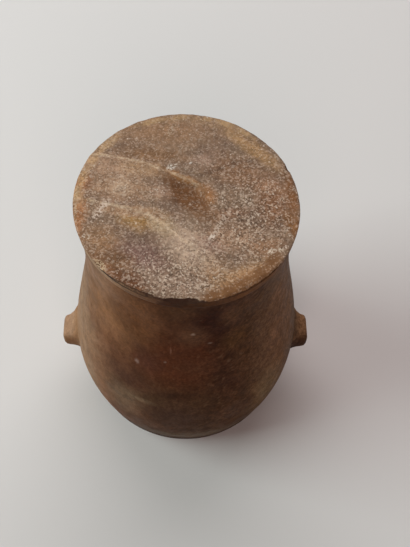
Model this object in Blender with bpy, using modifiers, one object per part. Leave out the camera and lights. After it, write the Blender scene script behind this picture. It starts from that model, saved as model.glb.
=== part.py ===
"""Alabaster amphoriskos: a small turned stone jar with two lugs, stood on its mouth.

Metres, +Z up. The origin is the centre of the mouth, on the surface that the jar stands on. The foot is at
the top with its worn underside showing, and the lugs point to -X and +X.
"""

import math

import bpy
from mathutils import Matrix, Vector

# Turned outside
HEIGHT = 0.100
FOOT_RADIUS = 0.0300
FOOT_BAND = 0.0045
FOOT_BAND_TAPER = 0.0004
FOOT_STEP = 0.0004
FOOT_WEAR = 0.0005
WAIST_RADIUS = 0.0289
WAIST_DEPTH = 0.016
BELLY_RADIUS = 0.0370
BELLY_HEIGHT = 0.024
MOUTH_RADIUS = 0.0336
LIP_ROUND = 0.0014

# Hollowed inside
WALL = 0.0065
FOOT_THICKNESS = 0.012
HOLLOW_CORNER = 0.009

# Lugs
LUG_PROJECTION = 0.0055
LUG_HEIGHT_ON_WALL = 0.0202
LUG_LENGTH = 0.0084
LUG_THICKNESS = 0.0064
LUG_ROOT_SPREAD = 0.0030
LUG_ROUND = 0.0019

# Shallow hollow worn in the underside of the foot
DIP_CENTRE = (0.0015, 0.0028)
DIP_LENGTH = 0.0150
DIP_WIDTH = 0.0092
DIP_DEPTH = 0.0012
DIP_TURN = math.radians(-40)
# Half height of the ball that leaves the hollow, in depths of the hollow: more makes a gentler rim
DIP_BALL = 3

# Chips on the foot's edge: bearing in degrees, bite into the face, drop down the side
EDGE_CHIPS = ((-97, 0.0013, 0.0022), (-124, 0.0009, 0.0015), (24, 0.0005, 0.0012))

# How far a chip's cutter reaches past the stone
CHIP_CLEAR = 0.002

# Fineness
TURN_STEPS = 72
WALL_STEPS = 18
HOLLOW_STEPS = 12
ARC_STEPS = 3
DIP_STEPS = 12

STONE_COLOUR = (0.21, 0.12, 0.075, 1.0)
STONE_ROUGHNESS = 0.5


def ease(share):
    """Rises from 0 to 1 with a level start and end."""
    return share * share * (3 - 2 * share)


def outer_radius(z):
    """Radius of the turned wall at height z, from the mouth up to the foot's band."""
    waist_height = HEIGHT - WAIST_DEPTH
    if z >= waist_height:
        under_band = FOOT_RADIUS - FOOT_BAND_TAPER - FOOT_STEP
        up = (z - waist_height) / (WAIST_DEPTH - FOOT_BAND)
        return WAIST_RADIUS + (under_band - WAIST_RADIUS) * up**2
    if z >= BELLY_HEIGHT:
        down = (waist_height - z) / (waist_height - BELLY_HEIGHT)
        return WAIST_RADIUS + (BELLY_RADIUS - WAIST_RADIUS) * ease(down)
    under_belly = (BELLY_HEIGHT - z) / BELLY_HEIGHT
    tuck = 1 - math.cos(math.pi / 2 * under_belly)
    return BELLY_RADIUS - (BELLY_RADIUS - MOUTH_RADIUS) * tuck


def arc(centre, radius, start_deg, end_deg):
    """Points on an arc in the profile's plane, from one angle to the other."""
    points = []
    for i in range(ARC_STEPS + 1):
        angle = math.radians(start_deg + (end_deg - start_deg) * i / ARC_STEPS)
        points.append((centre[0] + radius * math.cos(angle), centre[1] + radius * math.sin(angle)))
    return points


def spaced(start, end, steps):
    """Heights from start to end, both ends included."""
    return [start + (end - start) * i / steps for i in range(steps + 1)]


def foot_profile():
    """The flat underside of the foot, its worn edge and its band."""
    face = [(0, HEIGHT)]
    edge = arc((FOOT_RADIUS - FOOT_WEAR, HEIGHT - FOOT_WEAR), FOOT_WEAR, 90, 0)
    band_end = [(FOOT_RADIUS - FOOT_BAND_TAPER, HEIGHT - FOOT_BAND + FOOT_STEP)]
    return face + edge + band_end


def wall_profile():
    """The outside of the wall from under the foot's band to the lip."""
    heights = spaced(HEIGHT - FOOT_BAND, LIP_ROUND, WALL_STEPS)
    return [(outer_radius(z), z) for z in heights]


def lip_profile():
    """The rounded lip with its flat resting ring."""
    outside = outer_radius(LIP_ROUND)
    inside = outside - WALL
    outer_round = arc((outside - LIP_ROUND, LIP_ROUND), LIP_ROUND, 0, -90)[1:]
    inner_round = arc((inside + LIP_ROUND, LIP_ROUND), LIP_ROUND, -90, -180)
    return outer_round + inner_round


def hollow_profile():
    """The inside of the wall up to the rounded end of the hollow."""
    end = HEIGHT - FOOT_THICKNESS
    heights = spaced(LIP_ROUND, end - HOLLOW_CORNER, HOLLOW_STEPS)[1:]
    side = [(outer_radius(z) - WALL, z) for z in heights]
    corner_centre = (side[-1][0] - HOLLOW_CORNER, side[-1][1])
    return side + arc(corner_centre, HOLLOW_CORNER, 0, 90)[1:] + [(0, end)]


def turned_jar(collection):
    """The jar's wall and foot as one profile turned round the axis."""
    profile = foot_profile() + wall_profile() + lip_profile() + hollow_profile()
    mesh = bpy.data.meshes.new("amphoriskos")
    edges = [(i, i + 1) for i in range(len(profile) - 1)]
    mesh.from_pydata([(r, 0, z) for r, z in profile], edges, [])
    jar = bpy.data.objects.new("amphoriskos", mesh)
    collection.objects.link(jar)
    turn = jar.modifiers.new("Turn", "SCREW")
    turn.axis = "Z"
    turn.steps = TURN_STEPS
    turn.render_steps = TURN_STEPS
    turn.use_smooth_shade = True
    turn.use_merge_vertices = True
    turn.merge_threshold = 0.00001
    return jar


def move_to(obj, collection):
    """Takes an object out of every collection and puts it in this one."""
    for old in list(obj.users_collection):
        old.objects.unlink(obj)
    collection.objects.link(obj)


def bake_place(obj):
    """Puts the object's place, turn and scale into its mesh."""
    obj.data.transform(obj.matrix_basis)
    obj.matrix_basis = Matrix.Identity(4)


def as_tool(obj, collection):
    """Keeps an object out of renders: it only shapes another."""
    bake_place(obj)
    move_to(obj, collection)
    obj.hide_render = True
    obj.display_type = "WIRE"


def lug(side, collection):
    """A solid lug block, wider at its root, which starts inside the wall."""
    wall = outer_radius(LUG_HEIGHT_ON_WALL)
    root = wall - WALL / 2
    reach = wall + LUG_PROJECTION
    bpy.ops.mesh.primitive_cube_add(size=1)
    block = bpy.context.object
    block.name = "lug_left" if side < 0 else "lug_right"
    for vertex in block.data.vertices:
        at_root = vertex.co.x * side < 0
        spread = LUG_ROOT_SPREAD if at_root else 0
        vertex.co.x = side * (root if at_root else reach)
        vertex.co.y *= LUG_LENGTH + 2 * spread
        vertex.co.z = LUG_HEIGHT_ON_WALL + vertex.co.z * (LUG_THICKNESS + 2 * spread)
    bevel = block.modifiers.new("Worn edges", "BEVEL")
    bevel.width = LUG_ROUND
    bevel.segments = ARC_STEPS
    as_tool(block, collection)
    return block


def dip_cutter(collection):
    """A flattened ball that leaves a shallow oval hollow in the foot's underside."""
    bpy.ops.mesh.primitive_uv_sphere_add(segments=2 * DIP_STEPS, ring_count=DIP_STEPS, radius=1)
    ball = bpy.context.object
    ball.name = "dip_cutter"
    ball.rotation_euler.z = DIP_TURN
    ball_height = DIP_DEPTH * DIP_BALL
    # Share of the ball's half width at the level of the face
    rim = math.sqrt(1 - (1 - 1 / DIP_BALL) ** 2)
    ball.scale = (DIP_LENGTH / 2 / rim, DIP_WIDTH / 2 / rim, ball_height)
    ball.location = (*DIP_CENTRE, HEIGHT + ball_height - DIP_DEPTH)
    bpy.context.view_layer.update()
    as_tool(ball, collection)
    return ball


def chip_cutter(number, bearing_deg, bite, drop, collection):
    """A slanted block that takes a flake off the foot's edge."""
    turn = Matrix.Rotation(math.radians(bearing_deg), 4, "Z")
    at_face = Matrix.Translation(Vector((FOOT_RADIUS - bite, 0, HEIGHT)))
    lean = Matrix.Rotation(-math.atan2(bite, drop), 4, "Y")
    depth = bite + CHIP_CLEAR
    outward = Matrix.Translation(Vector((depth / 2, 0, 0)))
    chord = 2 * math.sqrt(FOOT_RADIUS**2 - (FOOT_RADIUS - bite) ** 2)
    slant = math.hypot(bite, drop)
    size = Matrix.Diagonal((depth, chord + 2 * CHIP_CLEAR, 2 * (slant + CHIP_CLEAR), 1))
    bpy.ops.mesh.primitive_cube_add(size=1)
    block = bpy.context.object
    block.name = f"chip_cutter_{number}"
    block.matrix_basis = turn @ at_face @ lean @ outward @ size
    as_tool(block, collection)
    return block


def combine(jar, tool, operation):
    """Joins the tool to the jar, or cuts it out of the jar."""
    step = jar.modifiers.new(tool.name, "BOOLEAN")
    step.object = tool
    step.operation = operation
    step.solver = "EXACT"


def stone_material():
    material = bpy.data.materials.new("alabaster")
    material.use_nodes = True
    shader = material.node_tree.nodes["Principled BSDF"]
    shader.inputs["Base Color"].default_value = STONE_COLOUR
    shader.inputs["Roughness"].default_value = STONE_ROUGHNESS
    shader.inputs["Metallic"].default_value = 0
    return material


def main():
    for obj in list(bpy.data.objects):
        bpy.data.objects.remove(obj)
    parts = bpy.data.collections.new("Alabaster amphoriskos")
    tools = bpy.data.collections.new("Cutters")
    bpy.context.scene.collection.children.link(parts)
    bpy.context.scene.collection.children.link(tools)
    jar = turned_jar(parts)
    for side in (-1, 1):
        combine(jar, lug(side, tools), "UNION")
    combine(jar, dip_cutter(tools), "DIFFERENCE")
    for number, (bearing_deg, bite, drop) in enumerate(EDGE_CHIPS, 1):
        combine(jar, chip_cutter(number, bearing_deg, bite, drop, tools), "DIFFERENCE")
    jar.data.materials.append(stone_material())


main()
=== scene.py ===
import math

import bpy
import numpy as np
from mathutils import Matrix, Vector, noise


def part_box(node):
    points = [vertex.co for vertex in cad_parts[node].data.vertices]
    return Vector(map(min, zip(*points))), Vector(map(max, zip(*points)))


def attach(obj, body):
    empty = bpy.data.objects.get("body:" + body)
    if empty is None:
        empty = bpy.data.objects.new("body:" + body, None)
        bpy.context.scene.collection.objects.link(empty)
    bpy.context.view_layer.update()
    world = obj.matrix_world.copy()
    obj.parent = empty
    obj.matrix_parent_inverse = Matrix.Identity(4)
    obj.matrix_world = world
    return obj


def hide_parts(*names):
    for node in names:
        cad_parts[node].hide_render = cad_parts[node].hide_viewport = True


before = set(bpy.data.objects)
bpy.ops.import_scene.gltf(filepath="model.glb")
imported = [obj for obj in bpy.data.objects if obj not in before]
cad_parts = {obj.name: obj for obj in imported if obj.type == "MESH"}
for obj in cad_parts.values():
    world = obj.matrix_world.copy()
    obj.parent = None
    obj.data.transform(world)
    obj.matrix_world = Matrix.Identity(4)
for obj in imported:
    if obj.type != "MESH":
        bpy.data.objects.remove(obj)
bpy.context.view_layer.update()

mm = 0.001
low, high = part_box("amphoriskos")
print("frame loaded, jar box in mm:", [round(side / mm, 1) for side in high - low])


def clearSelection():
    if bpy.context.object and bpy.context.object.mode != "OBJECT":
        bpy.ops.object.mode_set(mode="OBJECT")
    bpy.ops.object.select_all(action="DESELECT")


def makeActive(piece):
    clearSelection()
    piece.select_set(True)
    bpy.context.view_layer.objects.active = piece


def applyAll(piece):
    makeActive(piece)
    for modifier in list(piece.modifiers):
        bpy.ops.object.modifier_apply(modifier=modifier.name)


def ease(start, end, value):
    share = np.clip((value - start) / (end - start), 0, 1)
    return share * share * (3 - 2 * share)


def vertexPlaces(piece):
    places = np.zeros(len(piece.data.vertices) * 3, np.float32)
    piece.data.vertices.foreach_get("co", places)
    return places.reshape(-1, 3).astype(float) / mm


def setVertexPlaces(piece, places):
    piece.data.vertices.foreach_set("co", (places * mm).astype(np.float32).ravel())
    piece.data.update()


def noiseAt(places, size, seed=0.0):
    # smooth noise from -1 to 1, with lumps of about this size in mm
    shift = Vector((seed, seed * 1.7, seed * 0.6))
    return np.array([noise.noise(Vector(place) / size + shift) for place in places])


def lumpsAt(places, size, seed=0.0):
    # the same noise from 0 to 1
    return noiseAt(places, size, seed) * 0.5 + 0.5


def crystalsAt(places, size):
    # 0 at the middle of each crystal of about this size, 1 between them
    return np.array([noise.voronoi(Vector(place) / size)[0][0] for place in places])


# camera: where the picture was taken from, in mm and degrees
camera = {
    "eye": (0, -120.74, 282.68), "turn": (28.537, -1.189, -0.646),
    "lens": 54.03, "filmHeight": 36, "nearest": 10,
}


def placeCamera():
    bpy.ops.object.camera_add(location=[c * mm for c in camera["eye"]],
                              rotation=[math.radians(a) for a in camera["turn"]])
    eye = bpy.context.object
    eye.data.sensor_fit = "VERTICAL"
    eye.data.sensor_height = camera["filmHeight"]
    eye.data.lens = camera["lens"]
    eye.data.clip_start = camera["nearest"] * mm
    bpy.context.scene.camera = eye


placeCamera()
print("camera placed")


# the turned jar, in mm: foot up, mouth down, as the frame has it
jar = {
    "height": high.z / mm, "bellyRadius": high.y / mm, "bellyHeight": 24.0,
    "footRadius": 30.05, "footTaper": 0.4, "bandDepth": 4.5, "bandStep": 0.45, "stepHeight": 0.5,
    "footOval": 0.45, "ovalBearing": 145, "ovalFades": (88.0, 96.0),
    "waistRadius": 28.9, "waistDepth": 16.0, "mouthRadius": 33.6, "lipRound": 1.4,
    "wall": 6.5, "footThickness": 12.0, "hollowCorner": 9.0,
    # hand work: height, shift right, shift back, wider by
    "offTrue": [(0, 0, 0, 0), (22, 0.05, 0, 0), (50, 0.4, 0, 0.25), (72, 0.55, 0.1, 0.4),
                (86, 0.5, 0.2, 0.35), (96, 0.25, 0.35, 0.15), (102, 0.25, 0.35, 0.15)],
    # how finely it is turned, and the spare stone on top that the foot face is cut from
    "segments": 288, "bandGap": 0.45, "ringGap": 0.85, "innerGap": 2.2, "ceilingGap": 3.0,
    "stepRings": (0.3, 0.6), "lipSteps": (7, 4), "cornerSteps": 6, "weld": 0.004, "spareTop": 1.5,
}


def wallRadius(z):
    # outer radius at a height: the flare to the foot, the waist and belly, then the tuck to the mouth
    waist = jar["height"] - jar["waistDepth"]
    if z >= waist:
        top = jar["footRadius"] - jar["footTaper"] - jar["bandStep"]
        up = (z - waist) / (jar["waistDepth"] - jar["bandDepth"])
        return jar["waistRadius"] + (top - jar["waistRadius"]) * up ** 2
    if z >= jar["bellyHeight"]:
        down = (waist - z) / (waist - jar["bellyHeight"])
        return jar["waistRadius"] + (jar["bellyRadius"] - jar["waistRadius"]) * ease(0, 1, down)
    tuck = 1 - math.cos(math.pi / 2 * (jar["bellyHeight"] - z) / jar["bellyHeight"])
    return jar["bellyRadius"] - (jar["bellyRadius"] - jar["mouthRadius"]) * tuck


def wallAt(heights):
    # the same for many heights, from the floor to the foot's band
    bandEnd = jar["height"] - jar["bandDepth"]
    return np.array([wallRadius(min(max(z, 0), bandEnd)) for z in heights])


def heightsBetween(start, end, gap):
    return list(np.linspace(start, end, max(2, math.ceil(abs(end - start) / gap) + 1)))


def roundedCorner(centre, radius, startAngle, endAngle, steps):
    angles = np.radians(np.linspace(startAngle, endAngle, steps + 1))
    return [(centre[0] + radius * math.cos(a), centre[1] + radius * math.sin(a)) for a in angles]


def jarStations():
    # radius and height of each ring: the spare top, the outside, the lip, the inside and its ceiling
    top = jar["height"] + jar["spareTop"]
    bandEnd = jar["height"] - jar["bandDepth"]
    stepTop = bandEnd + jar["stepHeight"]
    bandSlope = jar["footTaper"] / jar["bandDepth"]
    lid = [(0, top), (jar["footRadius"] * 0.5, top)]
    band = [(jar["footRadius"] - max(0, jar["height"] - z) * bandSlope, z)
            for z in heightsBetween(top, stepTop, jar["bandGap"])]
    step = [(jar["footRadius"] - jar["footTaper"] - jar["bandStep"] * ease(0, 1, down),
             stepTop - jar["stepHeight"] * down) for down in jar["stepRings"]]
    lip, outer = jar["lipRound"], wallRadius(jar["lipRound"])
    inner = outer - jar["wall"]
    outside = [(wallRadius(z), z) for z in heightsBetween(bandEnd, lip, jar["ringGap"])]
    lipOut = roundedCorner((outer - lip, lip), lip, 0, -90, jar["lipSteps"][0])[1:]
    lipIn = roundedCorner((inner + lip, lip), lip, -90, -180, jar["lipSteps"][1])
    ceiling = jar["height"] - jar["footThickness"]
    corner = jar["hollowCorner"]
    inside = [(wallRadius(z) - jar["wall"], z)
              for z in heightsBetween(lip, ceiling - corner, jar["innerGap"])][1:]
    turnIn = roundedCorner((inside[-1][0] - corner, ceiling - corner), corner, 0, 90, jar["cornerSteps"])[1:]
    flat = [(radius, ceiling) for radius in heightsBetween(turnIn[-1][0], 0, jar["ceilingGap"])][1:]
    return lid + band + step + outside + lipOut + lipIn + inside + turnIn + flat


def turnJar():
    clearSelection()
    bpy.ops.mesh.primitive_plane_add(size=mm)
    piece = bpy.context.object
    piece.name = "Jar"
    bpy.ops.object.mode_set(mode="EDIT")
    bpy.ops.mesh.select_all(action="SELECT")
    bpy.ops.mesh.merge(type="CENTER")
    here = (0, 0)
    for number, (radius, z) in enumerate(jarStations()):
        move = ((radius - here[0]) * mm, 0, (z - here[1]) * mm)
        if number == 0:
            bpy.ops.transform.translate(value=move)
        else:
            bpy.ops.mesh.extrude_vertices_move(TRANSFORM_OT_translate={"value": move})
        here = (radius, z)
    bpy.ops.mesh.select_all(action="SELECT")
    bpy.ops.mesh.spin(steps=jar["segments"], angle=2 * math.pi, center=(0, 0, 0), axis=(0, 0, 1))
    bpy.ops.mesh.select_all(action="SELECT")
    bpy.ops.mesh.remove_doubles(threshold=jar["weld"] * mm)
    bpy.ops.mesh.normals_make_consistent(inside=False)
    bpy.ops.object.mode_set(mode="OBJECT")
    return piece


# slow waves, small dents and fine turning rings on the outside, in mm, all cut inwards; a noise is (size, seed)
wear = {
    "waveDepth": 0.16, "waveNoise": (17, 0), "dentDepth": 0.07, "dentNoise": (4.5, 4),
    "ringDepth": 0.03, "ringNoise": (1.7, 9), "ringDrift": 0.02, "fades": (0.3, 4), "axis": 0.01,
}


def wearOutside(piece):
    places = vertexPlaces(piece)
    radius = np.hypot(places[:, 0], places[:, 1])
    bearing = np.degrees(np.arctan2(places[:, 1], places[:, 0]))
    z = places[:, 2]
    outside = (radius > wallAt(z) - jar["wall"] / 2) & (z > wear["fades"][0])
    oval = jar["footOval"] * np.cos(2 * np.radians(bearing - jar["ovalBearing"]))
    oval *= ease(*jar["ovalFades"], z)
    worn = places[outside]
    rings = worn * (wear["ringDrift"], wear["ringDrift"], 1)
    cut = wear["waveDepth"] * lumpsAt(worn, *wear["waveNoise"])
    cut += wear["dentDepth"] * lumpsAt(worn, *wear["dentNoise"]) ** 2
    cut += wear["ringDepth"] * lumpsAt(rings, *wear["ringNoise"])
    cut *= ease(*wear["fades"], z[outside])
    heights, right, back, wider = zip(*jar["offTrue"])
    newRadius = radius.copy()
    newRadius[outside] += oval[outside] - cut + np.interp(z[outside], heights, wider)
    scale = np.where(radius > wear["axis"], newRadius / np.maximum(radius, wear["axis"]), 1)
    places[:, 0] = places[:, 0] * scale + np.interp(z, heights, right)
    places[:, 1] = places[:, 1] * scale + np.interp(z, heights, back)
    setVertexPlaces(piece, places)


jarPiece = turnJar()
wearOutside(jarPiece)
print("jar turned:", len(jarPiece.data.polygons), "faces")


# lugs, in mm: solid blocks that spread where they meet the wall, more behind and above than in front
lugs = {
    "height": 20.2, "lengths": {-1: 9.8, 1: 10.7}, "back": 4.7, "thickness": 7.0,
    "reach": high.x / mm, "rootSink": 4.5, "round": 2.0, "roundSteps": 3, "fineness": 3, "worn": 3,
    "flareBack": 5.5, "flareFront": 0.8, "flareReach": 4.6, "flareOverlap": 0.6,
    "seamReach": 1.4, "seamWindow": (7.5, 11.0), "seamSteps": 16, "seamLeast": 0.02,
}


def soften(piece, rounds, group=""):
    worn = piece.modifiers.new("Soften", "SMOOTH")
    worn.factor, worn.iterations, worn.vertex_group = 0.5, rounds, group
    applyAll(piece)


def makeLug(side):
    clearSelection()
    wall = wallRadius(lugs["height"])
    root = wall - lugs["rootSink"]
    span = lugs["reach"] - root
    length = lugs["lengths"][side]
    middleY = lugs["back"] - length / 2
    bpy.ops.mesh.primitive_cube_add(
        size=1, location=(side * (root + span / 2) * mm, middleY * mm, lugs["height"] * mm),
        scale=(span * mm, length * mm, lugs["thickness"] * mm))
    piece = bpy.context.object
    piece.name = "LugLeft" if side < 0 else "LugRight"
    bpy.ops.object.transform_apply(location=True, rotation=True, scale=True)
    bpy.ops.object.mode_set(mode="EDIT")
    bpy.ops.mesh.select_all(action="SELECT")
    bpy.ops.mesh.bevel(offset=lugs["round"] * mm, segments=lugs["roundSteps"], affect="EDGES")
    bpy.ops.mesh.select_all(action="SELECT")
    bpy.ops.mesh.subdivide(number_cuts=lugs["fineness"])
    bpy.ops.object.mode_set(mode="OBJECT")
    soften(piece, lugs["worn"])
    places = vertexPlaces(piece)
    sizes = ((1, middleY, length), (2, lugs["height"], lugs["thickness"]))
    for axis, middle, size in sizes:  # the softening shrank it, so its sizes are given back
        places[:, axis] = middle + (places[:, axis] - middle) * size / np.ptp(places[:, axis])
    outward = places[:, 0] * side
    outward = root + (outward - root) * span / (outward.max() - root)
    near = (1 - np.clip((outward - wall + lugs["flareOverlap"]) / lugs["flareReach"], 0, 1)) ** 2
    for axis, middle, size in sizes:
        offset = (places[:, axis] - middle) / (size / 2)
        flare = np.where(offset > 0, lugs["flareBack"], lugs["flareFront"])
        places[:, axis] += near * flare * offset
    places[:, 0] = side * outward
    setVertexPlaces(piece, places)
    return piece


def cutWith(piece, tool, operation):
    step = piece.modifiers.new("Join", "BOOLEAN")
    step.object = tool
    step.operation = operation
    step.solver = "EXACT"
    applyAll(piece)
    bpy.data.objects.remove(tool)


def softenSeams(piece):
    # the lugs run into the wall in a soft hollow, not at a sharp line
    places = vertexPlaces(piece)
    proud = np.hypot(places[:, 0], places[:, 1]) - wallAt(places[:, 2])
    weight = np.exp(-(proud / lugs["seamReach"]) ** 2) * (proud > -jar["wall"] / 2)
    for axis, middle in ((1, 0), (2, lugs["height"])):
        weight *= 1 - ease(*lugs["seamWindow"], np.abs(places[:, axis] - middle))
    group = piece.vertex_groups.new(name="Seam")
    beside = np.abs(places[:, 0]) > jar["waistRadius"]
    for number in np.flatnonzero((weight > lugs["seamLeast"]) & beside):
        group.add([int(number)], float(weight[number]), "REPLACE")
    soften(piece, lugs["seamSteps"], group.name)
    piece.vertex_groups.clear()


for side in (-1, 1):
    cutWith(jarPiece, makeLug(side), "UNION")
softenSeams(jarPiece)
print("lugs joined:", len(jarPiece.data.polygons), "faces")


# underside of the foot, in mm from the axis: +x right, +y away from the camera; a noise is (size, seed)
footFace = {
    "cell": 0.27, "halfWidth": 32.0, "lid": 4.0, "level": 0.28,
    "swell": 0.17, "swellNoise": (9, 3), "lump": 0.09, "lumpNoise": (2.4, 7), "grain": 0.07, "grainSize": 0.8,
    "edgeRound": 0.5, "edgePast": 0.1, "edgeDrop": 0.28, "edgeShape": 1.5,
    # ragged noises, and how far they move each thing
    "raggedNoise": (2.2, 11), "fineNoise": (0.7, 21), "raggedRidge": 0.7, "raggedHollow": 0.3, "raggedEdge": 0.25,
    "raggedChip": {False: 0.45, True: 0.12}, "fineChip": 0.2,
    "hollow": {
        "at": (0.6, 3.4), "half": (9.4, 4.4), "nearHalf": 7.0, "turn": -40, "bow": 0.16, "depth": 1.25,
        "floor": 0.15, "farFloor": 0.25, "rim": 1.05, "farRim": 0.05, "farWall": (-0.1, 0.5),
    },
    "ridges": [
        {"path": [(-28, 0.5), (-18, -1.2), (-9.4, -2.3), (-5.5, -5.5), (-4.1, -10), (1.5, -16), (11, -23.5)],
         "height": 0.24, "width": 2.2},
        {"path": [(-27.8, 15), (-20.2, 15), (-15.8, 14), (-11.1, 12.7), (-6.4, 11)], "height": 0.22, "width": 1.3},
        {"path": [(6, -3.5), (16, -5), (27, -3.5)], "height": 0.12, "width": 1.8},
        {"path": [(-22, 6.5), (-12, 5.5), (-6, 3)], "height": 0.10, "width": 1.6},
    ],
    # nicks in the edge by bearing: a worn one is smoother and less marked, a pale one keeps the face's colour
    "chips": [
        {"bearing": -93, "spread": 15, "bite": 1.5, "drop": 1.8},
        {"bearing": -110, "spread": 26, "bite": 1.0, "drop": 1.3},
        {"bearing": -57, "spread": 34, "bite": 1.4, "drop": 1.1, "worn": True},
        {"bearing": -139, "spread": 4.5, "bite": 2.1, "drop": 0.9, "pale": True},
        {"bearing": 22, "spread": 4, "bite": 0.7, "drop": 0.8},
        {"bearing": 82, "spread": 3, "bite": 0.5, "drop": 0.6},
        {"bearing": 58, "spread": 5, "bite": 0.35, "drop": 0.4},
    ],
    "chipShape": 2.2, "chipShelf": 0.4, "chipSoft": 0.5, "wornLip": 0.7, "rimWidth": 5,
}


def distanceToPath(x, y, path):
    nearest = np.full(x.shape, 1e9)
    for (ax, ay), (bx, by) in zip(path, path[1:]):
        along = np.clip(((x - ax) * (bx - ax) + (y - ay) * (by - ay)) / ((bx - ax) ** 2 + (by - ay) ** 2), 0, 1)
        nearest = np.minimum(nearest, np.hypot(x - ax - along * (bx - ax), y - ay - along * (by - ay)))
    return nearest


def flatPlaces(x, y):
    return np.column_stack([x, y, np.zeros(len(x))])


def hollowDepth(x, y):
    # an oval with a steep far wall and a long slope towards the camera
    hollow = footFace["hollow"]
    turn = math.radians(hollow["turn"])
    right, back = x - hollow["at"][0], y - hollow["at"][1]
    u = (right * math.cos(turn) + back * math.sin(turn)) / hollow["half"][0]
    v = -right * math.sin(turn) + back * math.cos(turn)
    v = np.where(v > 0, v / hollow["half"][1], v / hollow["nearHalf"]) - hollow["bow"] * u * u
    far = ease(*hollow["farWall"], v)
    floor, rim = hollow["floor"] + hollow["farFloor"] * far, hollow["rim"] - hollow["farRim"] * far
    return hollow["depth"] * (1 - ease(floor, rim, np.hypot(u, v)))


def footEdge(bearing):
    return jar["footRadius"] + jar["footOval"] * np.cos(2 * np.radians(bearing - jar["ovalBearing"]))


def footPolar(x, y):
    # radius and bearing about the middle of the foot, which is off the jar's axis
    right, back, wider = jar["offTrue"][-1][1:]
    return np.hypot(x - right, y - back) - wider, np.degrees(np.arctan2(y - back, x - right))


def intoChip(chip, radius, bearing, ragged):
    # how far past the chip's ragged inner line a place lies, and -1 away from the chip
    off = (bearing - chip["bearing"] + 180) % 360 - 180
    across = 1 - np.clip(np.abs(off) / chip["spread"], 0, 1) ** footFace["chipShape"]
    bite = chip["bite"] * across * (1 + footFace["raggedChip"]["worn" in chip] * ragged)
    return np.where(across > 0, radius - footEdge(bearing) + bite, -1)


def faceDrop(x, y):
    # how far the foot's underside lies below the jar's full height
    flat = flatPlaces(x, y)
    radius, bearing = footPolar(x, y)
    ragged = noiseAt(flat, *footFace["raggedNoise"])
    drop = footFace["level"] + footFace["swell"] * noiseAt(flat, *footFace["swellNoise"])
    drop += footFace["lump"] * noiseAt(flat, *footFace["lumpNoise"])
    shift = footFace["raggedRidge"] * ragged
    for ridge in footFace["ridges"]:
        gap = distanceToPath(x + shift, y + shift, ridge["path"])
        drop -= ridge["height"] * np.exp(-(gap / ridge["width"]) ** 2)
    shift = footFace["raggedHollow"] * ragged
    drop += hollowDepth(x + shift, y + shift)
    edge = footEdge(bearing)
    near = radius + footFace["raggedEdge"] * ragged
    past = ease(edge - footFace["edgeRound"], edge + footFace["edgePast"], near)
    drop += footFace["edgeDrop"] * past ** footFace["edgeShape"]
    for chip in footFace["chips"]:
        into = intoChip(chip, radius, bearing, ragged)
        broken = footFace["level"] * footFace["chipShelf"] + chip["drop"] * into / chip["bite"]
        drop = np.maximum(drop, np.where(into > -1, broken, 0))
    drop += footFace["grain"] * crystalsAt(flat, footFace["grainSize"])
    return np.maximum(drop, 0)


def cutFootFace(piece):
    clearSelection()
    cells = round(2 * footFace["halfWidth"] / footFace["cell"])
    bpy.ops.mesh.primitive_grid_add(
        x_subdivisions=cells, y_subdivisions=cells, size=2 * footFace["halfWidth"] * mm,
        location=(0, 0, jar["height"] * mm))
    tool = bpy.context.object
    bpy.ops.object.transform_apply(location=True, rotation=True, scale=True)
    bpy.ops.object.mode_set(mode="EDIT")
    bpy.ops.mesh.select_all(action="SELECT")
    bpy.ops.mesh.region_to_loop()
    bpy.ops.mesh.extrude_edges_move(TRANSFORM_OT_translate={"value": (0, 0, footFace["lid"] * mm)})
    bpy.ops.mesh.edge_face_add()
    bpy.ops.mesh.select_all(action="SELECT")
    bpy.ops.mesh.normals_make_consistent(inside=False)
    bpy.ops.object.mode_set(mode="OBJECT")
    places = vertexPlaces(tool)
    face = places[:, 2] < jar["height"] + footFace["lid"] / 2
    places[face, 2] = jar["height"] - faceDrop(places[face, 0], places[face, 1])
    setVertexPlaces(tool, places)
    for material in piece.data.materials:
        tool.data.materials.append(material)
    tool.data.polygons.foreach_set("material_index", [1] * len(tool.data.polygons))
    cutWith(piece, tool, "DIFFERENCE")


def markChips(piece):
    # an attribute that is 1 where the edge is broken away to the colour of the foot's side
    places = vertexPlaces(piece)
    x, y, z = places.T
    radius, bearing = footPolar(x, y)
    share = np.zeros(len(places))
    rim = (z > jar["height"] - jar["bandDepth"]) & (radius > jar["footRadius"] - footFace["rimWidth"])
    flat = flatPlaces(x[rim], y[rim])
    ragged = noiseAt(flat, *footFace["raggedNoise"])
    fine = footFace["fineChip"] * noiseAt(flat, *footFace["fineNoise"])
    for chip in footFace["chips"]:
        if "pale" not in chip:
            into = intoChip(chip, radius[rim], bearing[rim], ragged) + fine
            into -= footFace["wornLip"] * ("worn" in chip)
            share[rim] = np.maximum(share[rim], ease(0, footFace["chipSoft"], into))
    chipped = piece.data.attributes.new("chipped", "FLOAT", "POINT")
    chipped.data.foreach_set("value", share.astype(np.float32))


# shader nodes: each helper adds a node and gives back its output; sizes and places are in mm
def addNode(tree, kind, inputs, output=0, **settings):
    made = tree.nodes.new(kind)
    for key, value in settings.items():
        setattr(made, key, value)
    for key, value in inputs.items():
        if isinstance(value, bpy.types.NodeSocket):
            tree.links.new(value, made.inputs[key])
        else:
            made.inputs[key].default_value = value
    return made.outputs[output]


def mathNode(tree, operation, a, b=0.0):
    return addNode(tree, "ShaderNodeMath", {0: a, 1: b}, operation=operation)


def timesNode(tree, first, *others):
    for other in others:
        first = mathNode(tree, "MULTIPLY", first, other)
    return first


def rangeNode(tree, value, start, end, low=0.0, high=1.0):
    return addNode(tree, "ShaderNodeMapRange", {0: value, 1: start, 2: end, 3: low, 4: high},
                   interpolation_type="SMOOTHSTEP")


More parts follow.
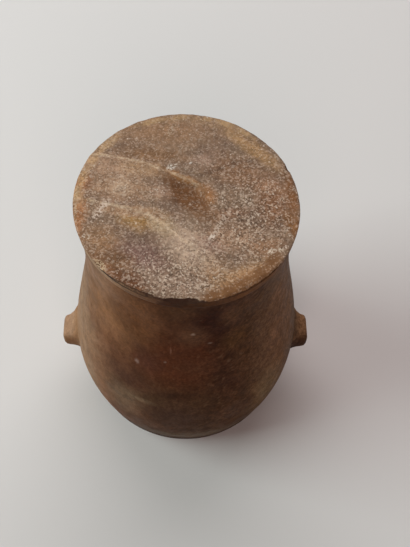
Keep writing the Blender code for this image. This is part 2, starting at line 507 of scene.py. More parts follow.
def mixNode(tree, share, base, over):
    base, over = [(*c, 1) if isinstance(c, tuple) else c for c in (base, over)]
    return addNode(tree, "ShaderNodeMix", {0: share, 6: base, 7: over}, output=2, data_type="RGBA")


def noiseNode(tree, places, size, detail=3.0, stretch=(1, 1, 1), turn=(0, 0, 0), output=0):
    # lumps of about this size, longer along an axis by its stretch
    turned = addNode(tree, "ShaderNodeMapping", {0: places, 2: [math.radians(a) for a in turn],
                                                 3: [size * s for s in stretch]}, vector_type="TEXTURE")
    return addNode(tree, "ShaderNodeTexNoise", {0: turned, "Scale": 1.0, "Detail": detail, "Roughness": 0.6},
                   output=output)


def warpNode(tree, places, size, amount):
    # moves places about, so that edges drawn on them are irregular
    shift = addNode(tree, "ShaderNodeVectorMath",
                    {0: noiseNode(tree, places, size, 2.0, output=1), 1: (0.5, 0.5, 0.5)}, operation="SUBTRACT")
    shift = addNode(tree, "ShaderNodeVectorMath", {0: shift, 3: amount * 2}, operation="SCALE")
    return addNode(tree, "ShaderNodeVectorMath", {0: places, 1: shift}, operation="ADD")


usualNoise = (0.28, 0.72)  # a noise texture seldom goes past these


def swingNode(tree, colour, texture, swing):
    # makes a colour darker and lighter by this share, as a noise goes down and up
    swing = timesNode(tree, rangeNode(tree, texture, *usualNoise, -1, 1), swing)
    return addNode(tree, "ShaderNodeVectorMath", {0: colour, 3: mathNode(tree, "ADD", swing, 1.0)}, operation="SCALE")


def patchNode(tree, places, at, half, turn, soft):
    # 1 inside an oval and 0 outside it, with a soft edge
    turned = addNode(tree, "ShaderNodeMapping", {0: places, 1: at, 2: (0, 0, math.radians(turn)), 3: half},
                     vector_type="TEXTURE")
    distance = addNode(tree, "ShaderNodeVectorMath", {0: turned}, output=1, operation="LENGTH")
    return rangeNode(tree, distance, 1 + soft, 1 - soft)


def crystalNode(tree, places, size):
    # one random value from 0 to 1 for each crystal
    cells = addNode(tree, "ShaderNodeTexVoronoi", {0: places, "Scale": 1 / size}, output=1)
    return addNode(tree, "ShaderNodeSeparateColor", {0: cells})


def rampNode(tree, value, start, end, stops):
    share = addNode(tree, "ShaderNodeMapRange", {0: value, 1: start, 2: end})
    colours = addNode(tree, "ShaderNodeValToRGB", {0: share})
    ramp = colours.node.color_ramp
    while len(ramp.elements) < len(stops):
        ramp.elements.new(0.5)
    for element, (place, colour) in zip(ramp.elements, stops):
        element.position = (place - start) / (end - start)
    for element, (place, colour) in zip(ramp.elements, stops):
        element.color = (*colour, 1)
    return colours


def startMaterial(name):
    material = bpy.data.materials.new(name)
    material.use_nodes = True
    tree = material.node_tree
    seat = addNode(tree, "ShaderNodeTexCoord", {}, output=3)
    places = addNode(tree, "ShaderNodeVectorMath", {0: seat, 3: 1 / mm}, operation="SCALE")
    return material, tree, tree.nodes["Principled BSDF"], places


def addBump(tree, shader, height, depth, strength=1.0):
    bump = addNode(tree, "ShaderNodeBump", {"Height": height, "Distance": depth * mm, "Strength": strength})
    tree.links.new(bump, shader.inputs["Normal"])


# finish of the body: tones from left to right by x, then ovals as (middle, half sizes, softness, colour);
# heights and sizes are in mm, and a range is where it starts and ends, then what it gives there
bodyFinish = {
    "across": [
        (-36, (0.312, 0.171, 0.090)), (-31, (0.290, 0.172, 0.100)), (-26, (0.208, 0.103, 0.054)),
        (-21, (0.133, 0.056, 0.027)), (-14, (0.087, 0.036, 0.017)), (-6, (0.084, 0.034, 0.014)),
        (2, (0.080, 0.039, 0.018)), (8, (0.067, 0.031, 0.014)), (14, (0.089, 0.038, 0.015)),
        # the tones rise again from 24 mm to the right end: painted reflected light on the jar's right side, over its
        # darker stone
        (19, (0.079, 0.036, 0.015)), (24, (0.142, 0.072, 0.031)), (30, (0.157, 0.073, 0.029)),
        (36, (0.140, 0.076, 0.040)),
    ],
    "band": [
        (-30, (0.310, 0.200, 0.112)), (-22, (0.320, 0.202, 0.116)), (-12, (0.220, 0.120, 0.065)),
        (-4, (0.070, 0.027, 0.012)), (4, (0.064, 0.027, 0.010)), (10, (0.105, 0.046, 0.020)),
        (20, (0.165, 0.071, 0.024)), (30, (0.177, 0.078, 0.033)),
    ],
    "bandHeights": (95.7, 96.6), "bandRagged": (1.5, 0.8), "bandSwing": 0.22,
    # a painted shadow line on the foot's side, under the overhanging edge at its left, in the shade colour
    "underEdgeShade": ((-17, -25, 99), (8.5, 8, 8), 0, 0.25), "underEdgeShadeHeights": (98.3, 99.3),
    "bends": ((16, 4.5), (4, 1.7)), "ragged": (0.8, 0.4),
    "ovals": {
        "tanHighLeft": ((-21, -20, 80), (12, 12, 15), 0.8, (0.255, 0.123, 0.056)),
        "greyHighLeft": ((-24, -17, 90), (7, 10, 7), 0.8, (0.256, 0.141, 0.081)),
        "wineGlow": ((-1, -31, 66), (11, 12, 17), 0.6, (0.088, 0.029, 0.012)),
        "nearBlack": ((7, -28, 84), (6.5, 12, 10), 0.7, (0.043, 0.013, 0.006)),
        "redRight": ((14.2, -26, 72), (3.6, 8, 5), 0.6, (0.096, 0.043, 0.014)),
        "darkLowRight": ((13, -30.5, 53), (5.5, 10, 10), 0.8, (0.066, 0.027, 0.013)),
        "oliveRight": ((23, -23, 58), (4.2, 10, 22), 0.8, (0.141, 0.073, 0.036)),
        "oliveLowRight": ((27, -25, 31), (4.5, 10, 12), 0.7, (0.198, 0.123, 0.060)),
        "oliveLeftLow": ((-11, -33.7, 41), (9.5, 10, 6.5), 0.95, (0.089, 0.047, 0.023)),
        "leftLow": ((-20, -30.6, 34), (5, 10, 12), 0.9, (0.162, 0.100, 0.060)),
        "darkLow": ((-4, -35.8, 30), (8, 10, 10), 0.7, (0.069, 0.035, 0.021)),
        "brownUpLeft": ((-14.4, -25, 80.5), (6, 10, 10), 0.85, (0.125, 0.052, 0.020)),
        "brownFront": ((1.6, -29, 78.5), (4.0, 10, 4.5), 0.9, (0.109, 0.051, 0.025)),
        "oliveUpRight": ((13.8, -25.4, 85.5), (4, 10, 5), 0.8, (0.097, 0.045, 0.020)),
        # a paler grey oval at the far right: painted reflected light
        "greyFarRight": ((28.5, -14.5, 58), (6.5, 10, 22), 0.9, (0.211, 0.105, 0.051)),
        "wineLow": ((-16.8, -29.4, 47.8), (7.5, 8, 5.2), 0.85, (0.081, 0.035, 0.019)),
        "wineLight": ((-11.2, -29.4, 61.6), (3.6, 8, 5), 0.9, (0.095, 0.035, 0.019)),
        "redMiddle": ((3.6, -31.4, 61), (5, 8, 3.6), 0.9, (0.096, 0.037, 0.017)),
        "brownRight": ((17.5, -27.5, 58), (3, 8, 7), 0.9, (0.111, 0.051, 0.022)),
        "darkMiddleLow": ((-2.5, -34.3, 45.8), (5.0, 6, 2.6), 0.9, (0.050, 0.021, 0.010)),
        "oliveLowLeft": ((-12.8, -34.6, 20), (5, 8, 5), 0.9, (0.110, 0.057, 0.034)),
        "oliveLowFront": ((15.3, -33, 29), (5, 8, 5), 0.9, (0.103, 0.051, 0.028)),
        "lugLeft": ((-40.5, 0.5, 21), (3.4, 8, 7), 0.35, (0.314, 0.193, 0.120)),
        # the darker front end of the left lug is painted shade, on the face turned away from the light
        "lugLeftFront": ((-40.5, -6.4, 19), (5, 3.2, 6.5), 0.3, (0.205, 0.110, 0.056)),
        "lugRight": ((40.5, 0.5, 21), (3.4, 8, 7), 0.35, (0.200, 0.107, 0.055)),
        # the near-black front end of the right lug is painted shade, on the face turned away from the light
        "lugRightFront": ((40.5, -7.0, 19), (5, 3.4, 6.5), 0.3, (0.060, 0.028, 0.015)),
        "oliveStreakLow": ((-20.5, -29.2, 35.2), (4.6, 7, 1.2), 0.9, (0.128, 0.083, 0.051)),
        "oliveStreakMiddle": ((-15.6, -32, 38.4), (4.4, 7, 1.0), 0.9, (0.175, 0.116, 0.070)),
        # a pale band low on the front, near the mouth: painted light bounced up from the floor
        "paleAtMouth": ((3, -34, 9), (20, 10, 5), 0.95, (0.143, 0.102, 0.066)),
    },
    "flecks": {
        "fleckFront": ((2, -29, 79.5), (0.5, 3, 0.5), 0.9, (0.280, 0.200, 0.150)),
        "fleckRight": ((6.8, -28.7, 73.7), (0.6, 3, 0.35), 0.9, (0.180, 0.120, 0.090)),
        "fleckLeft": ((-14.2, -28.5, 59.5), (0.5, 3, 0.9), 0.9, (0.240, 0.160, 0.130)),
        "fleckMiddle": ((-5.9, -30.5, 63.6), (0.35, 3, 0.4), 0.9, (0.180, 0.115, 0.085)),
        "scratchMiddle": ((-4.2, -29.5, 70), (0.2, 3, 1.6), 0.9, (0.170, 0.080, 0.050)),
    },
    # the dark ring at the mouth (lip) is painted contact shade where the jar meets the floor
    "lip": (0.058, 0.031, 0.019), "mouthShadeHeights": (9.0, 5.0, 0.0, 0.75), "mouthShadeRagged": 2.0,
    # noises: size, detail, then stretch and turn; the streaks are upright on the left and slanted on the right
    "mottle": (3.5, 4.0), "speck": (0.8, 3.0), "cloud": (6.0, 3.0), "grain": (1.0, 2.0),
    "upright": (1.4, 4.0, (1, 1, 3)), "slanted": (1.5, 4.0, (1, 1, 1.6), (0, 38, 0)), "slantedFrom": (-6, 10),
    "cloudSwing": 0.16, "streakSwing": (-25, 20, 0.10, 0.28), "speckSwing": (-25, 20, 0.13, 0.31),
    # the veil's stronger share on the right is painted reflected light
    "veilColour": (0.190, 0.130, 0.082), "veilStreaks": (0.52, 0.72), "veilMottle": (0.40, 0.62),
    "veilAndSheenAcross": (-12, 18, 0.15, 0.45),
    "shadeColour": (0.022, 0.009, 0.005),
    "gloss": 0.02, "roughness": (0.35, 0.65, 0.40, 0.55), "bumpDepth": 0.012,
}


# finish of the foot's underside: ovals as (middle, half sizes, turn, softness, colour);
# sizes are in mm, and a range is where it starts and ends, then what it gives there
faceFinish = {
    "tan": (0.225, 0.146, 0.094), "brown": (0.185, 0.116, 0.077), "tanSize": 8, "tanRange": (0.38, 0.62),
    "blotch": (1.9, 0.19), "bends": ((6.0, 1.5), (1.4, 0.55)), "ragged": (0.6, 0.3),
    "ovals": {
        "tanUpperLeft": ((-21.9, 12.2), (11.0, 3.9), -12, 0.7, (0.345, 0.216, 0.137)),
        "brownAboveBand": ((-9.2, 16.0), (8.8, 2.4), -5, 0.7, (0.231, 0.125, 0.062)),
        "brownTop": ((-5.8, 24.3), (12.6, 4.6), 0, 0.8, (0.273, 0.156, 0.085)),
        "ochreTopRight": ((18.4, 18.2), (10.1, 2.2), -45, 0.6, (0.330, 0.193, 0.089)),
        "mauveRight": ((14.2, 10.1), (8.3, 4.6), -22, 0.7, (0.213, 0.114, 0.062)),
        "brownFarRight": ((23.3, 1.0), (3.8, 7.0), 0, 0.7, (0.219, 0.105, 0.052)),
        "tanLowerLeft": ((-21.3, -12.7), (5.5, 4.2), -33, 0.8, (0.283, 0.158, 0.081)),
        "brownLowerRim": ((-17.6, -20.9), (7.6, 1.9), -39, 0.7, (0.219, 0.092, 0.035)),
        "mauveLowerRight": ((11.5, -10.9), (7.3, 3.6), 0, 0.8, (0.321, 0.197, 0.123)),
        "greyPurple": ((-11.7, -16.3), (6.3, 4.3), -25, 0.7, (0.189, 0.107, 0.084)),
        "brownBetweenLeft": ((-17.5, 4.6), (8.5, 3.6), -4, 0.8, (0.324, 0.195, 0.115)),
        "paleBandLeft": ((-10.5, 11.0), (7.4, 2.3), -12, 0.6, (0.362, 0.226, 0.130)),
        "paleByHollow": ((-3.7, 11.7), (3.0, 2.3), 0, 0.6, (0.200, 0.126, 0.081)),
        "yellowPatch": ((-13.0, -5.1), (4.5, 2.8), -12, 0.7, (0.352, 0.199, 0.073)),
        "sandyBandLeft": ((-15.2, -2.6), (9.5, 1.6), -8, 0.6, (0.385, 0.238, 0.141)),
        "sandyFanFront": ((7.7, -20.4), (7.3, 3.1), -36, 0.7, (0.277, 0.160, 0.085)),
        "sandyFan": ((0.4, -13.6), (7.3, 4.7), -52, 0.7, (0.430, 0.308, 0.222)),
        "sandyBandBend": ((-6.4, -6.3), (4.4, 2.5), -54, 0.6, (0.411, 0.289, 0.175)),
        "whiteCrystals": ((-3.9, -23.8), (8.4, 2.8), -16, 0.7, (0.257, 0.171, 0.120)),
        "paleRightBand": ((12.0, -3.5), (4.0, 1.5), 14, 0.6, (0.254, 0.140, 0.083)),
        "paleLowerRight": ((21.3, -13.6), (4.5, 2.3), 14, 0.7, (0.275, 0.151, 0.083)),
        "ochreFrontRight": ((13.8, -21.8), (7.9, 2.2), 29, 0.7, (0.350, 0.207, 0.108)),
        # the amber, red and yellow ovals at the left rim and the amber one at the front-right rim are painted glow of
        # light coming through the thin translucent edge
        "rimGlowLeft": ((-28.2, -3.4), (1.7, 7.0), 0, 0.95, (0.354, 0.159, 0.067)),
        "rimGlowLeftRed": ((-27.8, 6.6), (1.9, 2.6), 0, 0.95, (0.289, 0.118, 0.045)),
        "rimGlowLeftYellow": ((-28.6, 2.6), (1.3, 2.6), 0, 0.95, (0.450, 0.285, 0.152)),
        "rimGlowFrontRight": ((15.5, -24.0), (10, 2.2), 33, 0.9, (0.345, 0.178, 0.078)),
        "darkRightRim": ((28.4, 2.3), (1.4, 7.6), 7, 0.7, (0.199, 0.084, 0.030)),
        # the amber oval at the right rim is painted glow of light through the thin edge
        "rimGlowRight": ((28.0, -6.9), (1.6, 3.9), 16, 0.6, (0.210, 0.093, 0.033)),
        "darkBelowHollow": ((5.1, -3.2), (3.7, 2.2), -18, 0.7, (0.262, 0.148, 0.083)),
        "hollowShade": ((0.4, 2.8), (8.4, 3.8), -45, 0.55, (0.136, 0.057, 0.019)),
        "darkLowerRim": ((-14.5, -23.2), (4.8, 1.9), -30, 0.8, (0.130, 0.051, 0.021)),
        "brownFrontLeft": ((-17.2, -17.4), (4.2, 2.6), -35, 0.8, (0.181, 0.093, 0.046)),
        "mauveTop": ((4.8, 14.0), (3.0, 2.2), 0, 0.8, (0.296, 0.192, 0.136)),
        "paleClusterLeft": ((-17.3, 5.2), (2.8, 2.3), 0, 0.9, (0.385, 0.262, 0.172)),
        "paleClusterMiddle": ((-6.9, 4.2), (2.4, 1.8), 0, 0.9, (0.329, 0.206, 0.136)),
        "brownByBend": ((-7.2, -3.6), (2.6, 1.3), -35, 0.8, (0.273, 0.161, 0.090)),
        "mauveFan": ((6.4, -12.6), (3.4, 2.0), -20, 0.8, (0.275, 0.168, 0.120)),
        "tanFarRight": ((22.8, 5.0), (3.2, 2.2), 0, 0.8, (0.301, 0.159, 0.087)),
        "hollowLip": ((-0.4, 8.3), (5.9, 0.8), -26, 0.6, (0.267, 0.126, 0.045)),
    },
    # painted glow: amber light on the hollow's right-hand wall, which faces the light
    "glows": {
        "hollowWallGlow": ((6.2, 2.9), (2.8, 1.7), -62, 0.8, (0.310, 0.135, 0.046)),
        "hollowWallGlowTop": ((3.8, 5.4), (2.0, 0.9), -40, 0.8, (0.260, 0.135, 0.064)),
    },
    "lines": [
        {"path": [(-27.8, 15.6), (-24.6, 16.1), (-20.2, 15.4), (-15.8, 14.4), (-11.1, 13.1), (-6.4, 10.9),
                  (-4.2, 10.2), (-1.5, 9.2), (1.2, 7.6), (3.3, 6.2)],
         "width": 0.42, "share": 0.8, "colour": (0.500, 0.360, 0.235)},
        {"path": [(-26, 1), (-23.2, 0), (-19.5, -0.6), (-14.7, -1.8), (-9.4, -4), (-6.7, -5.9), (-4.6, -8),
                  (-2, -10.2), (0.6, -12.3)],
         "width": 0.5, "share": 0.8, "colour": (0.540, 0.400, 0.270)},
        {"path": [(0.6, -12.3), (3.7, -16.1), (7.2, -19.1), (10.8, -20.8)],
         "width": 0.9, "share": 0.35, "colour": (0.450, 0.330, 0.220)},
        {"path": [(-13.5, 26.2), (-6, 28.6), (0.8, 29.2), (8, 28.2), (14.2, 25.5), (19.0, 21.8)],
         "width": 0.9, "share": 0.65, "colour": (0.430, 0.280, 0.140)},
        {"path": [(-6, 27.3), (-0.2, 27.6), (5.5, 26.9), (11.1, 24.6), (15.5, 20.8)],
         "width": 0.6, "share": 0.3, "colour": (0.380, 0.250, 0.140)},
        # the two yellow-gold lines along the left rim are painted glow of light through the thin edge
        {"path": [(-19.6, 22.0), (-24.0, 16.8), (-27.2, 11.0), (-28.8, 5.0)],
         "width": 1.3, "share": 0.65, "colour": (0.520, 0.330, 0.165)},
        {"path": [(-28.8, 5.0), (-29.3, 1), (-29.0, -5)],
         "width": 0.4, "share": 0.5, "colour": (0.430, 0.290, 0.150)},
        {"path": [(0.8, 9.9), (3.4, 9.2), (9.4, 11.2), (16.0, 14.0), (22.5, 14.6)],
         "width": 0.9, "share": 0.5, "colour": (0.085, 0.045, 0.027)},
    ],
    "lineGaps": (0.3, 0.55, 0.3, 1.0), "lineGapSize": 2.2, "lineLap": 0.62, "lineSoft": 0.6, "glowShare": 0.75,
    "goldenEdge": {"path": [(5.0, -28.3), (8.8, -27.1), (12.6, -25.4), (16.8, -22.8), (20.6, -19.6), (23.6, -15.6)],
                   "width": 1.5, "share": 0.85, "crystals": (0.98, 0.85, 0.35, 1.0), "colour": (0.165, 0.073, 0.026)},
    "marks": {
        "chipPale": ((-21.9, -18.8), (2.0, 1.1), -47, 0.4, (0.500, 0.370, 0.235)),
        "scratchLeft": ((-22.7, -2.4), (3.9, 0.85), 55, 0.8, (0.620, 0.500, 0.410)),
        "scratchRight": ((9.3, -6.3), (4.3, 0.7), 60, 0.8, (0.480, 0.380, 0.300)),
        "scratchTop": ((-4.1, 24.3), (2.3, 0.5), 66, 0.8, (0.460, 0.350, 0.250)),
        "whiteSpot": ((-4.1, 11.8), (1.05, 0.8), 10, 0.7, (0.720, 0.660, 0.580)),
        "whiteSpotTail": ((-2.9, 12.5), (0.6, 0.5), 30, 0.7, (0.640, 0.580, 0.500)),
        "whiteSpotSmall": ((1.5, 13.1), (0.4, 0.4), 0, 0.6, (0.560, 0.510, 0.450)),
        "whiteSpotLeft": ((-26.4, -10.1), (0.45, 0.6), 0, 0.5, (0.560, 0.470, 0.380)),
        "whiteSpotBeside": ((-25.2, -10.4), (0.45, 0.6), 0, 0.5, (0.520, 0.430, 0.340)),
        "crystalsRight": ((22.2, -14.7), (1.1, 0.6), 25, 0.7, (0.640, 0.540, 0.430)),
        "crystalsRightRim": ((24.6, -14.2), (0.6, 0.7), 0, 0.7, (0.600, 0.500, 0.390)),
        "crystalFrontRim": ((16.2, -24.0), (0.6, 0.4), 20, 0.7, (0.560, 0.430, 0.310)),
        "crystalFarRight": ((25.8, 1.4), (0.5, 0.6), 0, 0.7, (0.560, 0.450, 0.350)),
        "whiteSpotScratch": ((6.8, -10.4), (1.1, 0.55), 60, 0.7, (0.700, 0.610, 0.520)),
    },
    "markCrystals": (0.2, 0.7),
    # crystals, coarse in some zones and calm in others: (middle, half sizes, turn, and how much calmer)
    "crystalSize": 0.38, "crystalLight": (0.70, 0.57, 0.45), "crystalDark": (0.060, 0.030, 0.016),
    "pale": (0.55, 1.0, 0, 0.52), "pit": (0.42, 0.0, 0, 0.74),
    "bigSize": 0.62, "bigPale": (0.92, 0.97, 0, 0.6), "bigBump": 0.8,
    "calm": 0.58, "coarseZones": (((-2, -22), (19, 11), -8), ((16, -6), (14, 17), -20)), "zoneSoft": 0.9,
    "calmZones": (((0, 25), (26, 9), 0, 0.40), ((0.4, 2.8), (9.5, 5), -45, 0.55), ((-11.7, -13), (8, 5), -25, 0.2)),
    "coarseSize": 2.6, "coarseRange": (0.3, 0.62, 0.65, 1.05),
    # bright specks: a dot in some of the cells, in more of them in its zones: (middle, half sizes, chance)
    "sparkleSize": 0.62, "sparkleShare": 0.62, "sparkleColour": (0.74, 0.63, 0.52), "sparkleBase": 0.03,
    "sparkleChance": (0.98, 1.02), "sparkleDot": (0.52, 0.16), "sparkleRange": (0.2, 1.0, 0.2, 1.0), "sparkleSoft": 0.8,
    "sparkles": (((-17.0, 5.3), (2.4, 2.3), 0.75), ((-6.7, 4.4), (2.4, 1.8), 0.5), ((23, 4.8), (3, 2.4), 0.35),
                 ((15, 1.8), (10, 6), 0.16), ((21, -10), (8, 7), 0.18), ((-3.9, -22.8), (11, 5), 0.26),
                 ((0.5, -12.5), (4, 6), 0.22), ((22.5, -15.5), (3, 1.5), 0.45), ((15, -24.4), (3, 1.0), 0.4)),
    # broken edges, by the "chipped" attribute: painted shade mixed in, in places and more towards the right, and palest
    # at the far left, where a painted shadow line runs along their inner side
    "brokenRange": (0.1, 0.35), "brokenGapSize": 1.2, "brokenGaps": (0.5, 0.35, 0, 0.6),
    "brokenShade": (-22, -8, 0.0, 0.5), "shadowLineColour": (0.050, 0.020, 0.010), "lineAcross": (4, -4, 0, 0.8),
    "lineIn": (0.2, 0.4), "lineOut": (0.9, 0.7),
    "gloss": 0.2, "roughness": (0.6, 1.0, 0.72, 0.42), "bumpDepth": 0.13,
}


def faceOval(tree, places, oval):
    at, half, turn, soft = oval[:4]
    return patchNode(tree, places, (*at, jar["height"]), (*half, jar["height"]), turn, soft)


def lineNode(tree, places, path, width):
    # the largest share of the thin ovals that lie along a path
    share = 0.0
    for (ax, ay), (bx, by) in zip(path, path[1:]):
        half = (math.hypot(bx - ax, by - ay) * faceFinish["lineLap"], width)
        turn = math.degrees(math.atan2(by - ay, bx - ax))
        oval = (((ax + bx) / 2, (ay + by) / 2), half, turn, faceFinish["lineSoft"])
        share = mathNode(tree, "MAXIMUM", faceOval(tree, places, oval), share)
    return share


def crystalZones(tree, places, bent):
    # how strongly the crystals show, from place to place
    finish = faceFinish
    coarse = finish["calm"]
    for zone in finish["coarseZones"]:
        coarse = mathNode(tree, "MAXIMUM", coarse, faceOval(tree, bent, (*zone, finish["zoneSoft"])))
    for *zone, calmer in finish["calmZones"]:
        calmed = timesNode(tree, faceOval(tree, bent, (*zone, finish["zoneSoft"])), -calmer)
        coarse = timesNode(tree, coarse, mathNode(tree, "ADD", calmed, 1.0))
    uneven = rangeNode(tree, noiseNode(tree, places, finish["coarseSize"]), *finish["coarseRange"])
    return timesNode(tree, coarse, uneven)


def sparkleNode(tree, gentle, ragged):
    finish = faceFinish
    dots = addNode(tree, "ShaderNodeTexVoronoi", {0: ragged, "Scale": 1 / finish["sparkleSize"]},
                   voronoi_dimensions="2D")
    chance = addNode(tree, "ShaderNodeSeparateColor", {0: dots.node.outputs[1]})
    density = finish["sparkleBase"]
    for at, half, extra in finish["sparkles"]:
        zone = timesNode(tree, faceOval(tree, gentle, (at, half, 0, finish["sparkleSoft"])), extra)
        density = mathNode(tree, "MAXIMUM", density, zone)
    shown = rangeNode(tree, mathNode(tree, "ADD", chance, density), *finish["sparkleChance"])
    bright = rangeNode(tree, chance.node.outputs[1], *finish["sparkleRange"])
    return timesNode(tree, shown, timesNode(tree, rangeNode(tree, dots, *finish["sparkleDot"]), bright),
                     finish["sparkleShare"])


def brokenEdges(tree, colour, places, bent):
    # broken edges show the colour of the foot's side
    finish, shade = faceFinish, bodyFinish["shadeColour"]
    bentX = addNode(tree, "ShaderNodeSeparateXYZ", {0: bent})
    reach = jar["bellyRadius"] + 1
    broken = rampNode(tree, bentX, -reach, reach, bodyFinish["band"])
    gaps = noiseNode(tree, places, finish["brokenGapSize"])
    # painted shade mixed into the broken edges: in patches, and more strongly from the left towards the right
    broken = mixNode(tree, rangeNode(tree, gaps, *finish["brokenGaps"]), broken, shade)
    broken = mixNode(tree, rangeNode(tree, bentX, *finish["brokenShade"]), broken, shade)
    chipped = addNode(tree, "ShaderNodeAttribute", {}, output=2, attribute_name="chipped")
    # a painted shadow line along the chips' inner side, on the left part of the front
    inner = timesNode(tree, rangeNode(tree, chipped, *finish["lineIn"]), rangeNode(tree, chipped, *finish["lineOut"]),
                      rangeNode(tree, bentX, *finish["lineAcross"]))
    broken = mixNode(tree, inner, broken, finish["shadowLineColour"])
    return mixNode(tree, rangeNode(tree, chipped, *finish["brokenRange"]), colour, broken)


def makeRoughStone():
    finish = faceFinish
    material, tree, shader, places = startMaterial("RoughCrystal")
    ragged = warpNode(tree, places, *finish["ragged"])
    gentle = warpNode(tree, ragged, *finish["bends"][1])
    bent = warpNode(tree, gentle, *finish["bends"][0])
    tanShare = rangeNode(tree, noiseNode(tree, places, finish["tanSize"]), *finish["tanRange"])
    colour = mixNode(tree, tanShare, finish["brown"], finish["tan"])
    for oval in finish["ovals"].values():
        colour = mixNode(tree, faceOval(tree, bent, oval), colour, oval[4])
    # painted glow of the hollow's lit wall
    for glow in finish["glows"].values():
        colour = mixNode(tree, timesNode(tree, faceOval(tree, gentle, glow), finish["glowShare"]), colour, glow[4])
    gaps = rangeNode(tree, noiseNode(tree, places, finish["lineGapSize"]), *finish["lineGaps"])
    for line in finish["lines"]:
        share = timesNode(tree, lineNode(tree, gentle, line["path"], line["width"]), line["share"], gaps)
        colour = mixNode(tree, share, colour, line["colour"])
    colour = swingNode(tree, colour, noiseNode(tree, places, finish["blotch"][0]), finish["blotch"][1])
    coarse = crystalZones(tree, places, bent)
    crystal = crystalNode(tree, places, finish["crystalSize"])
    bigCrystal = crystalNode(tree, ragged, finish["bigSize"])
    pale = mathNode(tree, "MAXIMUM", rangeNode(tree, crystal, *finish["pale"]),
                    rangeNode(tree, bigCrystal, *finish["bigPale"]))
    colour = mixNode(tree, timesNode(tree, pale, coarse), colour, finish["crystalLight"])
    pit = rangeNode(tree, crystal, *finish["pit"])
    colour = mixNode(tree, timesNode(tree, pit, coarse), colour, finish["crystalDark"])
    colour = mixNode(tree, sparkleNode(tree, gentle, ragged), colour, finish["sparkleColour"])
    golden = finish["goldenEdge"]
    share = timesNode(tree, lineNode(tree, ragged, golden["path"], golden["width"]), golden["share"],
                      rangeNode(tree, crystal, *golden["crystals"]))
    colour = mixNode(tree, share, colour, golden["colour"])
    grains = rangeNode(tree, crystal, *finish["markCrystals"])
    for mark in finish["marks"].values():
        colour = mixNode(tree, timesNode(tree, faceOval(tree, ragged, mark), grains), colour, mark[4])
    colour = brokenEdges(tree, colour, places, bent)
    tree.links.new(colour, shader.inputs["Base Color"])
    tree.links.new(rangeNode(tree, crystal, *finish["roughness"]), shader.inputs["Roughness"])
    shader.inputs["Specular IOR Level"].default_value = finish["gloss"]
    relief = mathNode(tree, "ADD", crystal, timesNode(tree, bigCrystal, finish["bigBump"]))
    addBump(tree, shader, relief, finish["bumpDepth"])
    return material


def bodyOval(tree, places, oval):
    at, half, soft = oval[:3]
    return patchNode(tree, places, at, half, 0, soft)


# the body's material: the stone's patina tones, plus painted shade and painted reflected light
def makePatinaAndPaintedLight():
    finish = bodyFinish
    material, tree, shader, places = startMaterial("PatinaAndPaintedLight")
    ragged = warpNode(tree, places, *finish["ragged"])
    gentle = warpNode(tree, places, *finish["bends"][1])
    bent = warpNode(tree, gentle, *finish["bends"][0])
    bentX = addNode(tree, "ShaderNodeSeparateXYZ", {0: bent})
    across = addNode(tree, "ShaderNodeSeparateXYZ", {0: places})
    height = across.node.outputs[2]
    reach = jar["bellyRadius"] + 1
    colour = rampNode(tree, bentX, -reach, reach, finish["across"])
    for oval in finish["ovals"].values():
        colour = mixNode(tree, bodyOval(tree, gentle, oval), colour, oval[3])
    # soft clouds, streaks and fine specks
    mottle, speck = [noiseNode(tree, places, *finish[name]) for name in ("mottle", "speck")]
    cloud, upright, slanted = [noiseNode(tree, gentle, *finish[name]) for name in ("cloud", "upright", "slanted")]
    slant = rangeNode(tree, bentX, *finish["slantedFrom"])
    streak = addNode(tree, "ShaderNodeMix", {0: slant, 2: upright, 3: slanted}, data_type="FLOAT")
    colour = swingNode(tree, colour, cloud, finish["cloudSwing"])
    colour = swingNode(tree, colour, streak, rangeNode(tree, across, *finish["streakSwing"]))
    colour = swingNode(tree, colour, speck, rangeNode(tree, across, *finish["speckSwing"]))
    # a pale veil in the stone, stronger on the right, where the extra is painted reflected light
    veilAndSheen = timesNode(tree, rangeNode(tree, streak, *finish["veilStreaks"]),
                     rangeNode(tree, mottle, *finish["veilMottle"]), rangeNode(tree, across, *finish["veilAndSheenAcross"]))
    colour = mixNode(tree, veilAndSheen, colour, finish["veilColour"])
    # the foot's side, with a painted shadow line at its left, under the overhanging edge of the foot's underside
    bandColour = rampNode(tree, bentX, -reach, reach, finish["band"])
    for texture in (cloud, mottle, speck):
        bandColour = swingNode(tree, bandColour, texture, finish["bandSwing"])
    size, amount = finish["bandRagged"]
    bandEdge = mathNode(tree, "ADD", height, timesNode(tree, noiseNode(tree, places, size), amount))
    colour = mixNode(tree, rangeNode(tree, bandEdge, *finish["bandHeights"]), colour, bandColour)
    underEdgeShade = timesNode(tree, patchNode(tree, gentle, *finish["underEdgeShade"]),
                      rangeNode(tree, bandEdge, *finish["underEdgeShadeHeights"]))
    colour = mixNode(tree, underEdgeShade, colour, finish["shadeColour"])
    # a dark ring at the mouth, painted contact shade where it meets the floor, and pale flecks
    mouthShadeEdge = mathNode(tree, "ADD", height, timesNode(tree, mottle, finish["mouthShadeRagged"]))
    colour = mixNode(tree, rangeNode(tree, mouthShadeEdge, *finish["mouthShadeHeights"]), colour, finish["lip"])
    for fleck in finish["flecks"].values():
        colour = mixNode(tree, bodyOval(tree, ragged, fleck), colour, fleck[3])
    tree.links.new(colour, shader.inputs["Base Color"])
    tree.links.new(rangeNode(tree, mottle, *finish["roughness"]), shader.inputs["Roughness"])
    shader.inputs["Specular IOR Level"].default_value = finish["gloss"]
    addBump(tree, shader, noiseNode(tree, places, *finish["grain"]), finish["bumpDepth"])
    return material


jarPiece.data.materials.append(makePatinaAndPaintedLight())
jarPiece.data.materials.append(makeRoughStone())
cutFootFace(jarPiece)
markChips(jarPiece)
print("foot face cut:", len(jarPiece.data.polygons), "faces,",
      sum(len(face.vertices) - 2 for face in jarPiece.data.polygons), "triangles")

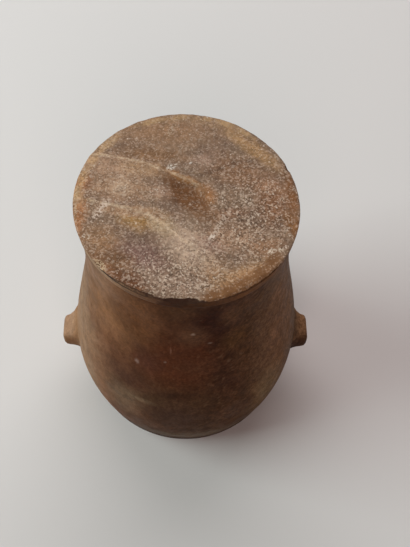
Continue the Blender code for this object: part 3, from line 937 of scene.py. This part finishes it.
sharpFrom = 42  # edges that turn by more degrees than this stay sharp
makeActive(jarPiece)
bpy.ops.object.shade_smooth_by_angle(angle=math.radians(sharpFrom))
jarPiece.name = "Amphoriskos"
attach(jarPiece, "root")
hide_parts("amphoriskos")


# plain floor and soft light: bearings and rises in degrees, distances and sizes in metres
studio = {
    "floorColour": (0.62, 0.62, 0.62), "floorRoughness": 0.9, "floorSize": 3.0, "aim": (0, 0, 0.05),
    "rise": 42, "distance": 1.0,
    "lights": {
        "Key": {"bearing": 180, "size": (0.6, 0.6), "power": 6.9, "tint": (0.934, 1.05, 1.016)},
        "Back": {"bearing": 90, "size": (1.35, 0.6), "power": 8.3, "tint": (1.06, 0.98, 0.96)},
        "Front": {"bearing": 270, "size": (0.6, 0.6), "power": 2.6, "tint": (1.226, 0.926, 0.848)},
    },
}


def addFloor():
    clearSelection()
    bpy.ops.mesh.primitive_plane_add(size=studio["floorSize"])
    floor = bpy.context.object
    floor.name = "Floor"
    material = bpy.data.materials.new("PaleFloor")
    material.use_nodes = True
    shader = material.node_tree.nodes["Principled BSDF"]
    shader.inputs["Base Color"].default_value = (*studio["floorColour"], 1)
    shader.inputs["Roughness"].default_value = studio["floorRoughness"]
    floor.data.materials.append(material)


def addLights():
    rise = math.radians(studio["rise"])
    for name, light in studio["lights"].items():
        clearSelection()
        bearing = math.radians(light["bearing"])
        towards = Vector((math.cos(bearing) * math.cos(rise), math.sin(bearing) * math.cos(rise), math.sin(rise)))
        bpy.ops.object.light_add(type="AREA", location=Vector(studio["aim"]) + towards * studio["distance"],
                                 rotation=towards.to_track_quat("Z", "Y").to_euler())
        lamp = bpy.context.object
        lamp.name = name
        lamp.data.shape = "RECTANGLE"
        lamp.data.size, lamp.data.size_y = light["size"]
        lamp.data.energy = light["power"]
        lamp.data.color = light["tint"]
    world = bpy.data.worlds.new("Studio")
    world.use_nodes = True
    world.node_tree.nodes["Background"].inputs["Strength"].default_value = 0
    bpy.context.scene.world = world
    bpy.context.scene.view_settings.view_transform = "Standard"


addFloor()
addLights()
print("floor and light set")
